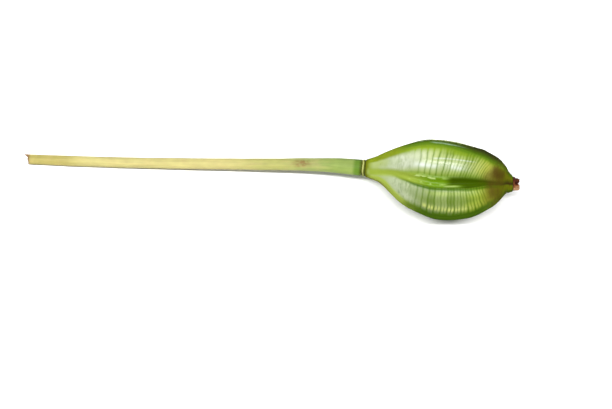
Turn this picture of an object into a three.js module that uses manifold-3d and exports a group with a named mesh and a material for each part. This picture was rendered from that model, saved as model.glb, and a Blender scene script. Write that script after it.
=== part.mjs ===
// A green tulip seed capsule on its cut stem, lying on its side on a flat surface.
// Millimetres, +Z up, +X from the cut end of the stem towards the beak. The origin is the
// centre of the small flat under the capsule, where it bears on the surface.

import * as THREE from "three";
import { mergeVertices } from "three/addons/utils/BufferGeometryUtils.js";
import Module from "manifold-3d";

const degrees = THREE.MathUtils.degToRad;

// Centre lines. The stem and the capsule meet at the joint, where both run the same way.
const JOINT = new THREE.Vector3(-24.2, 2.55, 10.6);
const JOINT_DIRECTION = new THREE.Vector3(1, -0.06, 0.14);
const STEM_LINE = new THREE.CubicBezierCurve3(
  new THREE.Vector3(-133.9, 5.65, 1.66),
  new THREE.Vector3(-97.2, 4.75, 1.35),
  JOINT.clone().addScaledVector(JOINT_DIRECTION, -22),
  JOINT,
);
const CAPSULE_LINE = new THREE.CubicBezierCurve3(
  JOINT,
  JOINT.clone().addScaledVector(JOINT_DIRECTION, 10),
  new THREE.Vector3(3.4, -2.8, 13.3),
  new THREE.Vector3(23.7, -2.3, 14),
);

// Stem: radius at each distance from the cut end, and the slant of the cut.
const STEM_RADII = [
  [0, 1.62],
  [30, 1.7],
  [60, 1.78],
  [82, 1.92],
  [95, 2.15],
  [103, 2.42],
  [110, 2.58],
];
const STEM_SIDES = 16;
const STEM_STEPS = 28;
const CUT_SLANT = 0.4; // lengthwise run of the cut for each millimetre across it

// Scar ring between stem and capsule: half its profile, as radius and distance from its middle.
const RING_PROFILE = [
  [2.38, 0.5],
  [2.46, 0.22],
  [2.72, 0.12],
];
const RING_SIDES = 24;
const RING_HALF_LENGTH = RING_PROFILE[0][1];
const JOINT_GAP = 0.15; // left between pieces that meet end to end

// Capsule: mean radius at each distance from the joint.
const CAPSULE_RADII = [
  [0, 2.5],
  [4, 3.8],
  [10.5, 7.65],
  [17, 10.65],
  [25, 11.75],
  [33.5, 10.7],
  [41, 7.7],
  [45.2, 4.4],
  [47.6, 2.4],
];
const WIDEST_RADIUS = 11.75;
const SWAYS = [
  { reach: 0.7, at: 9, width: 7 },
  { reach: 0.8, at: 43.5, width: 4 },
]; // neck and shoulder lie a little off the middle, towards +Y
const SEAM_TURNS = [
  [0, degrees(14)],
  [5, degrees(13)],
  [22.7, degrees(8.4)],
  [32, degrees(4)],
  [38, degrees(0.5)],
  [47.6, 0],
]; // the top face's seam, turned from straight up towards -Y, by distance along the capsule

// Cross-section. Angles are measured from a face's seam, with the corner ridges 60 degrees away.
const TRIANGLE = 0.12; // how far the corners stand out and the faces lie in, as a share of the radius
const SLIM_GIRTH = 0.5; // below this share of the widest girth the section grows rounder
const PANEL_BULGE = 0.03; // swell of each panel, as a share of the radius
const SEAM_DEPTH = 0.7;
const SEAM_WIDTH = degrees(8);
const RIB_HEIGHT = 0.75;
const RIB_WIDTH = degrees(3.2);
const PANEL_START = degrees(9);
const PANEL_END = degrees(45);
const PANEL_EDGE = degrees(5);
const CORNER = degrees(60);
const CORNER_STEP = 0.25; // the corner band's rise above the panel beside it
const SUTURE_DEPTH = 0.2; // fine groove along each corner's crest
const SUTURE_WIDTH = degrees(4);
const HALF_FACE_ANGLES = [0, 3, 8, 14, 23, 32, 41, 47, 54].map(degrees);
const FACES = 3;

// Seeds lie flat in stacks behind the panels, and each raises one cross bar on the wall.
const SEEDS_IN_STACK = 18;
const STACK_START = 13.5;
const STACK_END = 39.5;
const LAST_SEED_SHARE = 0.55; // thickness of the seed nearest the beak, as a share of the first
const BAR_HEIGHT = 0.2;
const BAR_CREST = [0.3, 0.7]; // where along a seed's thickness its bar is at full height
const BAR_LEAN = 2.2; // how far the last bar's ends trail towards the beak
const NECK_STEPS = 8;
const BEAK_STEPS = 8;
const RELIEF_FADE = [3, 14, 41, 47]; // ridges, seams and bars grow in the neck and fade in the beak

// Stigma: three withered lobes that curl outwards from the end of the beak.
const LOBE_REACH = 2.7;
const LOBE_RISE = 1.3;
const LOBE_CURL = 0.55;
const LOBE_THICKNESS = 0.75; // half the lobe's depth where it leaves the middle
const LOBE_FLATNESS = 0.7;
const LOBE_ARCH = 1.2; // height of the arc's control point, as a share of the rise
const LOBE_TIP = 0.22; // depth left at the tip, as a share of the depth at the middle
const LOBE_RIPPLE = 0.12;
const LOBE_RIPPLES = 5;
const LOBE_TWIST = 4; // how far the ripples turn from middle to tip, in radians
const LOBE_SIDES = 12;
const LOBE_STEPS = 8;
const BUTTON_RADIUS = 2;
const BUTTON_HEIGHT = 0.9;
const BUTTON_TAPER = 0.25;

const STEM_GREEN = new THREE.MeshStandardMaterial({ color: 0xd9d088, roughness: 0.6, metalness: 0 });
const RING_CREAM = new THREE.MeshStandardMaterial({ color: 0xb5ab6b, roughness: 0.8, metalness: 0 });
const CAPSULE_GREEN = new THREE.MeshStandardMaterial({ color: 0x86a83c, roughness: 0.35, metalness: 0 });
const STIGMA_BROWN = new THREE.MeshStandardMaterial({ color: 0x73492c, roughness: 0.85, metalness: 0 });

// Smooth curve through [place, value] pairs, level at neither end.
function smoothCurve(pairs, place) {
  const last = pairs.length - 2;
  const found = pairs.findIndex(([x], i) => i > 0 && place <= x) - 1;
  const i = found < 0 ? last : found;
  const slope = (a, b) => (pairs[b][1] - pairs[a][1]) / (pairs[b][0] - pairs[a][0]);
  const width = pairs[i + 1][0] - pairs[i][0];
  const startSlope = slope(Math.max(i - 1, 0), i + 1) * width;
  const endSlope = slope(i, Math.min(i + 2, last + 1)) * width;
  const t = (place - pairs[i][0]) / width;
  const ease = t * t * (3 - 2 * t);
  return (
    pairs[i][1] * (1 - ease) +
    pairs[i + 1][1] * ease +
    startSlope * t * (1 - t) ** 2 -
    endSlope * t * t * (1 - t)
  );
}

// Bell of height 1 at 0.
function bell(x, width) {
  return Math.exp(-((x / width) ** 2));
}

// Rises from 0 at start to 1 at end.
function rise(x, start, end) {
  return THREE.MathUtils.smoothstep(x, start, end);
}

// Point and directions of a centre line at a distance along it. Side is +Y where the line runs along +X.
function lineFrame(line, distance) {
  const share = distance / line.getLength();
  const along = line.getTangentAt(share);
  const side = new THREE.Vector3(0, 0, 1).cross(along).normalize();
  return { point: line.getPointAt(share), along, side, up: along.clone().cross(side) };
}

// Point off a centre line: turned from straight up towards -Y, then out by the radius.
function offLine(frame, turn, radius) {
  return frame.point
    .clone()
    .addScaledVector(frame.up, radius * Math.cos(turn))
    .addScaledVector(frame.side, -radius * Math.sin(turn));
}

// Closed body of rings: place(row, turn) gives each ring's points, and pole(0) and pole(1) its two ends.
function ringBody(rows, turns, place, pole) {
  const profile = Array.from({ length: rows + 2 }, (_, row) => {
    const open = row > 0 && row <= rows;
    return new THREE.Vector2(open ? 1 : 0, row);
  });
  const body = new THREE.LatheGeometry(profile, turns.length);
  const position = body.getAttribute("position");
  for (let column = 0; column <= turns.length; column += 1) {
    const turn = turns[column % turns.length];
    for (let row = 0; row < profile.length; row += 1) {
      const inside = profile[row].x > 0;
      const point = inside ? place(row - 1, turn) : pole(row > 0 ? 1 : 0);
      position.setXYZ(column * profile.length + row, point.x, point.y, point.z);
    }
  }
  body.deleteAttribute("normal");
  body.deleteAttribute("uv");
  return mergeVertices(body);
}

// Turns that go evenly round.
function evenTurns(count) {
  return Array.from({ length: count }, (_, i) => (2 * Math.PI * i) / count);
}

function makeStem() {
  const length = STEM_LINE.getLength() - RING_HALF_LENGTH - JOINT_GAP;
  const frames = Array.from({ length: STEM_STEPS + 1 }, (_, row) => {
    const distance = (length * row) / STEM_STEPS;
    return { ...lineFrame(STEM_LINE, distance), radius: smoothCurve(STEM_RADII, distance) };
  });
  const place = (row, turn) => {
    const point = offLine(frames[row], turn, frames[row].radius);
    if (row === 0) {
      const across = -frames[0].radius * Math.sin(turn);
      point.addScaledVector(frames[0].along, -CUT_SLANT * across);
    }
    return point;
  };
  const pole = (end) => frames[end * STEM_STEPS].point;
  return ringBody(STEM_STEPS + 1, evenTurns(STEM_SIDES), place, pole);
}

function makeScarRing() {
  const mirrored = RING_PROFILE.map(([radius, offset]) => [radius, -offset]);
  const rows = [...mirrored, ...RING_PROFILE.slice().reverse()];
  const frame = lineFrame(CAPSULE_LINE, 0);
  const shifted = (point, offset) => point.addScaledVector(frame.along, offset);
  const place = (row, turn) => shifted(offLine(frame, turn, rows[row][0]), rows[row][1]);
  const pole = (end) => shifted(frame.point.clone(), (2 * end - 1) * RING_HALF_LENGTH);
  return ringBody(rows.length, evenTurns(RING_SIDES), place, pole);
}

// Distances along the capsule where one seed ends and the next begins, each seed thinner than the last.
function seedEdges() {
  const thicknesses = Array.from({ length: SEEDS_IN_STACK }, (_, seed) =>
    THREE.MathUtils.lerp(1, LAST_SEED_SHARE, seed / (SEEDS_IN_STACK - 1)),
  );
  const scale = (STACK_END - STACK_START) / thicknesses.reduce((sum, t) => sum + t, 0);
  const edges = [STACK_START];
  thicknesses.forEach((t) => edges.push(edges.at(-1) + t * scale));
  return edges;
}

// Rings of the capsule: the distance along it, and how far its bar stands up there.
function capsuleRows() {
  const start = RING_HALF_LENGTH + JOINT_GAP;
  const end = CAPSULE_RADII.at(-1)[0];
  const rows = [];
  for (let i = 0; i < NECK_STEPS; i += 1)
    rows.push({ distance: THREE.MathUtils.lerp(start, STACK_START, i / NECK_STEPS), bar: 0 });
  const edges = seedEdges();
  edges.slice(0, -1).forEach((edge, seed) => {
    rows.push({ distance: edge, bar: 0 });
    BAR_CREST.forEach((share) =>
      rows.push({ distance: THREE.MathUtils.lerp(edge, edges[seed + 1], share), bar: 1 }),
    );
  });
  for (let i = 0; i <= BEAK_STEPS; i += 1)
    rows.push({ distance: THREE.MathUtils.lerp(STACK_END, end, i / BEAK_STEPS), bar: 0 });
  return rows;
}

// How far the ridges, seams and bars are developed at a distance along the capsule.
function reliefAt(distance) {
  const [neck, body, shoulder, beak] = RELIEF_FADE;
  return rise(distance, neck, body) * (1 - rise(distance, shoulder, beak));
}

// Radius of the capsule, at an angle from the nearest seam.
function capsuleRadius(distance, angle, bar) {
  const mean = smoothCurve(CAPSULE_RADII, distance);
  const lobes = PANEL_BULGE * Math.sin(3 * angle) ** 2 - TRIANGLE * Math.cos(3 * angle);
  const seam = RIB_HEIGHT * bell(angle, RIB_WIDTH) - SEAM_DEPTH * bell(angle, SEAM_WIDTH);
  const step = CORNER_STEP * rise(angle, PANEL_END - PANEL_EDGE, PANEL_END + PANEL_EDGE);
  const suture = -SUTURE_DEPTH * bell(CORNER - angle, SUTURE_WIDTH);
  const panel =
    rise(angle, PANEL_START - PANEL_EDGE, PANEL_START + PANEL_EDGE) *
    (1 - rise(angle, PANEL_END - PANEL_EDGE, PANEL_END + PANEL_EDGE));
  const relief = seam + step + suture + BAR_HEIGHT * bar * panel;
  const angular = Math.min(1, mean / (SLIM_GIRTH * WIDEST_RADIUS));
  return mean * (1 + lobes * angular) + relief * reliefAt(distance);
}

function makeCapsule() {
  const rows = capsuleRows();
  const half = HALF_FACE_ANGLES;
  const face = [-CORNER, ...half.slice(1).reverse().map((angle) => -angle), ...half];
  const turns = Array.from({ length: FACES }, (_, i) => face.map((angle) => 2 * CORNER * i + angle)).flat();
  const seamAngle = (turn) => Math.abs(turn - 2 * CORNER * Math.round(turn / (2 * CORNER)));
  const end = rows.at(-1).distance;
  const place = (row, turn) => {
    const angle = seamAngle(turn);
    const { distance, bar } = rows[row];
    const lean = BAR_LEAN * rise(distance, STACK_START, STACK_END) * (1 - rise(distance, STACK_END, end));
    const leant = distance + lean * Math.sin(1.5 * angle) ** 2;
    const frame = lineFrame(CAPSULE_LINE, leant);
    const turned = turn + smoothCurve(SEAM_TURNS, leant);
    const point = offLine(frame, turned, capsuleRadius(leant, angle, bar));
    SWAYS.forEach(({ reach, at, width }) =>
      point.addScaledVector(frame.side, reach * bell(leant - at, width)),
    );
    point.z = Math.max(point.z, 0); // the flat that the capsule lies on
    return point;
  };
  const pole = (which) => lineFrame(CAPSULE_LINE, which ? end : rows[0].distance).point;
  return ringBody(rows.length, turns, place, pole);
}

const wasm = await Module();
wasm.setup();

function solidOf(geometry) {
  return new wasm.Manifold(
    new wasm.Mesh({
      numProp: 3,
      vertProperties: geometry.getAttribute("position").array,
      triVerts: new Uint32Array(geometry.index.array),
    }),
  );
}

function geometryOf(solid) {
  const { vertProperties, triVerts } = solid.getMesh();
  return new THREE.BufferGeometry()
    .setAttribute("position", new THREE.BufferAttribute(vertProperties, 3))
    .setIndex(new THREE.BufferAttribute(triVerts, 1));
}

// One lobe: a flattened, rippled finger along an arc from the middle of the beak outwards.
function makeLobe(frame, turn) {
  const outwards = offLine(frame, turn, 1).sub(frame.point);
  const reach = (out, along) =>
    frame.point.clone().addScaledVector(outwards, out).addScaledVector(frame.along, along);
  const arc = new THREE.QuadraticBezierCurve3(
    reach(0, BUTTON_HEIGHT / 2),
    reach(LOBE_REACH * LOBE_CURL, LOBE_RISE * LOBE_ARCH),
    reach(LOBE_REACH, LOBE_RISE),
  );
  const across = frame.along.clone().cross(outwards);
  const place = (row, around) => {
    const share = (row + 0.5) / LOBE_STEPS;
    const taper = THREE.MathUtils.lerp(LOBE_TIP, 1, Math.sqrt(1 - share * share));
    const ripple = 1 + LOBE_RIPPLE * Math.sin(LOBE_RIPPLES * around + LOBE_TWIST * share);
    const depth = LOBE_THICKNESS * taper * ripple;
    const normal = arc.getTangent(share).cross(across);
    return arc
      .getPoint(share)
      .addScaledVector(normal, depth * Math.cos(around))
      .addScaledVector(across, (-depth * Math.sin(around)) / LOBE_FLATNESS);
  };
  return ringBody(LOBE_STEPS, evenTurns(LOBE_SIDES), place, (end) => arc.getPoint(end));
}

function makeStigma() {
  const beakEnd = CAPSULE_RADII.at(-1)[0];
  const base = lineFrame(CAPSULE_LINE, beakEnd);
  base.point.addScaledVector(base.along, JOINT_GAP);
  const buttonPlace = (row, turn) =>
    offLine(base, turn, BUTTON_RADIUS * (1 - BUTTON_TAPER * row)).addScaledVector(
      base.along,
      BUTTON_HEIGHT * row,
    );
  const buttonPole = (end) => base.point.clone().addScaledVector(base.along, BUTTON_HEIGHT * end);
  const button = ringBody(2, evenTurns(LOBE_SIDES), buttonPlace, buttonPole);
  const lobes = Array.from({ length: FACES }, (_, i) => makeLobe(base, CORNER * (2 * i + 1)));
  const joined = lobes.reduce((solid, lobe) => solid.add(solidOf(lobe)), solidOf(button));
  return geometryOf(joined);
}

function namedMesh(name, geometry, material) {
  const mesh = new THREE.Mesh(geometry, material);
  mesh.name = name;
  return mesh;
}

const tulipSeedCapsule = new THREE.Group();
tulipSeedCapsule.add(
  namedMesh("stem", makeStem(), STEM_GREEN),
  namedMesh("scar_ring", makeScarRing(), RING_CREAM),
  namedMesh("capsule", makeCapsule(), CAPSULE_GREEN),
  namedMesh("stigma", makeStigma(), STIGMA_BROWN),
);

export default tulipSeedCapsule;
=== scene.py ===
"""A green tulip seed capsule on its cut stem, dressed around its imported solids.

The capsule lies on its side on a white surface and is seen from straight above. Sizes are in
millimetres and angles in degrees unless a name says otherwise. Every finished mesh is in metres.
A place along the capsule counts from its joint with the stem, and an angle round it from a seam.
"""

from __future__ import annotations

import logging
import math
from dataclasses import dataclass, fields
from enum import Enum
from types import SimpleNamespace
from typing import Any, Iterable, Sequence, Union

import bpy
from mathutils import Color, Matrix, Vector

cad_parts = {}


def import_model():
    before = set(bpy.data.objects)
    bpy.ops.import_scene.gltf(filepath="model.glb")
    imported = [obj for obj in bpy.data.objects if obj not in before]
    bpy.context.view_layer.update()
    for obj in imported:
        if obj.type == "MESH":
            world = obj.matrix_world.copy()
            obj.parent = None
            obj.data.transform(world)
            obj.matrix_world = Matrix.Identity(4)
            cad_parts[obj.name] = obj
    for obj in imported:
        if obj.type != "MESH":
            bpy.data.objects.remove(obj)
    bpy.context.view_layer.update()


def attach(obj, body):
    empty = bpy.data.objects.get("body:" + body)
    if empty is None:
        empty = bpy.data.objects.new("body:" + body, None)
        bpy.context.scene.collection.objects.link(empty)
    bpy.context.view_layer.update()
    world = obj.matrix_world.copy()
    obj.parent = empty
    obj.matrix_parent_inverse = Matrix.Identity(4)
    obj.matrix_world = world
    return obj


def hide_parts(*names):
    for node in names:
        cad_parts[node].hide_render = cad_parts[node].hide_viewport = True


LOG = logging.getLogger("tulip_capsule")

METRES = 0.001
SEED = 0.0
FULL_TURN = 360.0
DEGREE = math.radians(1)
FACES = 3
FACE_TURN = FULL_TURN / FACES
CORNER = FACE_TURN / 2
# Takes the angle from a seam to a corner to a quarter turn.
CORNER_WAVE = FULL_TURN / 4 / CORNER
STACKS = 2
# How much brighter than its own colour a skin shows in this light.
EXPOSURE = 1.35
BYTE = 255
# Half the width of a step between 0 and 1.
STEP_EDGE = 0.001
SHEET_SIZE = 1.0
# Points that are closer than this become one.
WELD = 0.0005

Point = tuple[float, float, float]
Pair = tuple[float, float]
Colour = tuple[float, float, float, float]
Stops = tuple[tuple[float, Colour], ...]


class Slot(Enum):
    """Material slots of the record."""

    STEM = "stem_skin"
    RING = "scar_tissue"
    CAPSULE = "capsule_skin"
    STIGMA = "withered_tissue"


class Trait(Enum):
    """Values stored on a skin for its finish to read."""

    PLACE = "place"
    ALONG = "along"
    AROUND = "around"
    PANEL = "panel"
    COUNT = "count"
    STACK = "stack"
    RAISED = "raised"
    SEAM = "seam"
    CREASE = "crease"
    PALE_SIDE = "pale_side"
    FLANK = "flank"


def tint(red: int, green: int, blue: int) -> Colour:
    """Turn a display colour into the linear colour of a skin that shows it in this bright light.

    Args:
        red: Red from 0 to 255.
        green: Green from 0 to 255.
        blue: Blue from 0 to 255.

    Returns:
        Linear red, green and blue, and full opacity.
    """
    shown = Color((red / BYTE, green / BYTE, blue / BYTE)).from_srgb_to_scene_linear()
    return (shown.r / EXPOSURE, shown.g / EXPOSURE, shown.b / EXPOSURE, 1.0)


@dataclass(frozen=True)
class Noise:
    """Kind of a soft random pattern.

    Fineness is how many features fit in a unit of length, detail how many finer layers are added
    and roughness how strong each of them is. The place is first scaled along each axis by stretch.
    """

    fineness: Number
    detail: float = 2.0
    roughness: float = 0.5
    stretch: Point = (1.0, 1.0, 1.0)


# Lots are read from a plain noise, at places that lie far enough apart to be unlike.
LOT_NOISE = Noise(1.0, detail=0.0)
LOT_LEVEL = 0.5
LOT_EDGES: Pair = (0.25, 0.75)
SEED_STEP = 7.13
STACK_STEP = 5.31
SIDE_STEP = 3.7


class Wire:
    """An output socket of a node tree under construction."""

    def __init__(self, socket: bpy.types.NodeSocket) -> None:
        """Hold one output socket."""
        self.socket = socket

    @property
    def bench(self) -> Bench:
        """Bench for the tree that this socket belongs to."""
        return Bench(self.socket.node.id_data)


class Field(Wire):
    """A number that a tree works out at each point, written with plain arithmetic."""

    def _math(self, operation: str, *values: Number) -> Field:
        """Add one maths node.

        Args:
            operation: The node's operation.
            values: Its inputs in order.

        Returns:
            The node's result.
        """
        node = self.bench.add("ShaderNodeMath", dict(enumerate(values)), operation=operation)
        return Field(node.outputs[0])

    def __add__(self, other: Number) -> Field:
        """Sum."""
        return self._math("ADD", self, other)

    __radd__ = __add__

    def __sub__(self, other: Number) -> Field:
        """Difference."""
        return self._math("SUBTRACT", self, other)

    def __rsub__(self, other: Number) -> Field:
        """Difference from a plain number."""
        return self._math("SUBTRACT", other, self)

    def __mul__(self, other: Number) -> Field:
        """Product."""
        return self._math("MULTIPLY", self, other)

    __rmul__ = __mul__

    def __truediv__(self, other: Number) -> Field:
        """Quotient."""
        return self._math("DIVIDE", self, other)

    def __pow__(self, power: Number) -> Field:
        """Power."""
        return self._math("POWER", self, power)

    def __abs__(self) -> Field:
        """Size without sign."""
        return self._math("ABSOLUTE", self)

    def sine(self) -> Field:
        """Sine of an angle in degrees."""
        return self._math("SINE", self * DEGREE)

    def cosine(self) -> Field:
        """Cosine of an angle in degrees."""
        return self._math("COSINE", self * DEGREE)

    def root(self) -> Field:
        """Square root."""
        return self._math("SQRT", self)

    def floor(self) -> Field:
        """Whole part."""
        return self._math("FLOOR", self)

    def fraction(self) -> Field:
        """Part after the point."""
        return self._math("FRACT", self)

    def least(self, other: Number) -> Field:
        """The smaller of two."""
        return self._math("MINIMUM", self, other)

    def most(self, other: Number) -> Field:
        """The larger of two."""
        return self._math("MAXIMUM", self, other)

    def share(self) -> Field:
        """Held between 0 and 1."""
        return self.most(0.0).least(1.0)

    def swing(self) -> Field:
        """From -1 where it was 0 to 1 where it was 1."""
        return self * 2.0 - 1.0

    def to(self, low: Number, high: Number) -> Field:
        """From low where it was 0 to high where it was 1."""
        return self * (high - low) + low

    def negative(self) -> Field:
        """1 below 0, and 0 above it."""
        return self.rise(STEP_EDGE, -STEP_EDGE)

    def bell(self, width: Number) -> Field:
        """Bell of height 1 at 0, with this half width."""
        share = self / width
        return self._math("EXPONENT", share * share * -1.0)

    def rise(self, start: Number, end: Number) -> Field:
        """Ease from 0 at start to 1 at end.

        Args:
            start: Where the rise begins.
            end: Where it is complete.

        Returns:
            A share from 0 to 1.
        """
        node = self.bench.add(
            "ShaderNodeMapRange",
            {"Value": self, "From Min": start, "From Max": end},
            interpolation_type="SMOOTHSTEP",
        )
        return Field(node.outputs["Result"])

    def curve(self, pairs: Sequence[Pair]) -> Field:
        """Read a smooth curve through [place, value] pairs.

        Args:
            pairs: Points of the curve, in order.

        Returns:
            The curve's value at this place.
        """
        first, last = pairs[0][0], pairs[-1][0]
        top = max(value for _, value in pairs)
        share = (self - first) / (last - first)
        node = self.bench.add("ShaderNodeFloatCurve", {"Value": share})
        points = node.mapping.curves[0].points
        spots = [((place - first) / (last - first), value / top) for place, value in pairs]
        points[0].location = spots[0]
        points[1].location = spots[-1]
        for spot in spots[1:-1]:
            points.new(*spot)
        node.mapping.update()
        return Field(node.outputs["Value"]) * top

    def ramp(self, stops: Stops) -> Paint:
        """Colour by this number.

        Args:
            stops: Numbers and their colours, in order.

        Returns:
            The colour.
        """
        first, last = stops[0][0], stops[-1][0]
        node = self.bench.add("ShaderNodeValToRGB", {0: (self - first) / (last - first)})
        node.color_ramp.interpolation = "EASE"
        elements = node.color_ramp.elements
        while len(elements) < len(stops):
            elements.new(1.0)
        for element, (place, colour) in zip(elements, stops):
            element.position = (place - first) / (last - first)
            element.color = colour
        return Paint(node.outputs["Color"])


Number = Union[Field, float]


class Arrow(Wire):
    """A direction or a place that a tree works out at each point."""

    def _math(self, operation: str, other: Any = None, scale: Number = 1.0) -> Arrow:
        """Add one vector node.

        Args:
            operation: The node's operation.
            other: Its second vector, where it has one.
            scale: Its scale, where it has one.

        Returns:
            The node's result.
        """
        inputs: dict[Any, Any] = {0: self, 3: scale}
        if other is not None:
            inputs[1] = other
        node = self.bench.add("ShaderNodeVectorMath", inputs, operation=operation)
        return Arrow(node.outputs["Vector"])

    def __add__(self, other: Arrow) -> Arrow:
        """Sum."""
        return self._math("ADD", other)

    def __mul__(self, scale: Number) -> Arrow:
        """Longer or shorter by a number."""
        return self._math("SCALE", scale=scale)

    def stretched(self, by: Point) -> Arrow:
        """Scaled by its own amount along each axis."""
        return self._math("MULTIPLY", by)

    def cross(self, other: Any) -> Arrow:
        """Cross product."""
        return self._math("CROSS_PRODUCT", other)

    def unit(self) -> Arrow:
        """Same direction with length 1."""
        return self._math("NORMALIZE")

    def distance(self, point: Point) -> Field:
        """How far away a fixed point is."""
        node = self.bench.add("ShaderNodeVectorMath", {0: self, 1: point}, operation="DISTANCE")
        return Field(node.outputs["Value"])

    def parts(self) -> tuple[Field, Field, Field]:
        """The three numbers that it is made of."""
        node = self.bench.add("ShaderNodeSeparateXYZ", {0: self})
        return (Field(node.outputs[0]), Field(node.outputs[1]), Field(node.outputs[2]))

    def noise(self, kind: Noise) -> Field:
        """Soft random pattern at this place.

        Args:
            kind: The kind of pattern.

        Returns:
            A number from 0 to 1, mostly near a half.
        """
        inputs = {
            "Vector": self.stretched(kind.stretch),
            "Scale": kind.fineness,
            "Detail": kind.detail,
            "Roughness": kind.roughness,
        }
        return Field(self.bench.add("ShaderNodeTexNoise", inputs).outputs[0])


class Paint(Wire):
    """A colour that changes over a surface."""

    def toward(self, other: Union[Paint, Colour], share: Number) -> Paint:
        """Blend into another colour.

        Args:
            other: The other colour.
            share: How much of it shows, from 0 to 1.

        Returns:
            The blend.
        """
        inputs = {0: share, 6: self, 7: other}
        return Paint(self.bench.add("ShaderNodeMix", inputs, data_type="RGBA").outputs[2])

    def lit(self, factor: Number) -> Paint:
        """Brighter or darker by a factor."""
        node = self.bench.add("ShaderNodeVectorMath", {0: self, 3: factor}, operation="SCALE")
        return Paint(node.outputs["Vector"])


class Bench:
    """Adds nodes to a tree and joins them up."""

    def __init__(self, tree: bpy.types.NodeTree) -> None:
        """Work on one tree."""
        self.tree = tree

    def add(
        self, kind: str, inputs: dict[Any, Any] | None = None, **settings: Any
    ) -> bpy.types.Node:
        """Add a node.

        Args:
            kind: The node's type.
            inputs: Wires, sockets or plain values for its inputs, by name or place.
            settings: The node's own settings.

        Returns:
            The new node.
        """
        node = self.tree.nodes.new(kind)
        for name, value in settings.items():
            setattr(node, name, value)
        for key, value in (inputs or {}).items():
            self.feed(node.inputs[key], value)
        return node

    def feed(self, target: bpy.types.NodeSocket, value: Any) -> None:
        """Join a wire or socket to an input, or set a plain value on it.

        Args:
            target: The input.
            value: A wire, a socket or a plain value.
        """
        source = value.socket if isinstance(value, Wire) else value
        if isinstance(source, bpy.types.NodeSocket):
            self.tree.links.new(source, target)
        else:
            target.default_value = source

    def arrow(self, x: Number, y: Number, z: Number) -> Arrow:
        """Put three numbers together."""
        node = self.add("ShaderNodeCombineXYZ", {0: x, 1: y, 2: z})
        return Arrow(node.outputs[0])

    def lot(self, first: Number, second: Number = LOT_LEVEL) -> Field:
        """A random number from 0 to 1 that belongs to one or two numbers."""
        return self.arrow(first, second, LOT_LEVEL).noise(LOT_NOISE)

    def seed_lot(self, count: Field, stack: Field) -> Field:
        """A random share for each seed of each stack, the same in shapes and finishes."""
        return self.lot(count.floor() * SEED_STEP, stack * STACK_STEP).rise(*LOT_EDGES)


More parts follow.
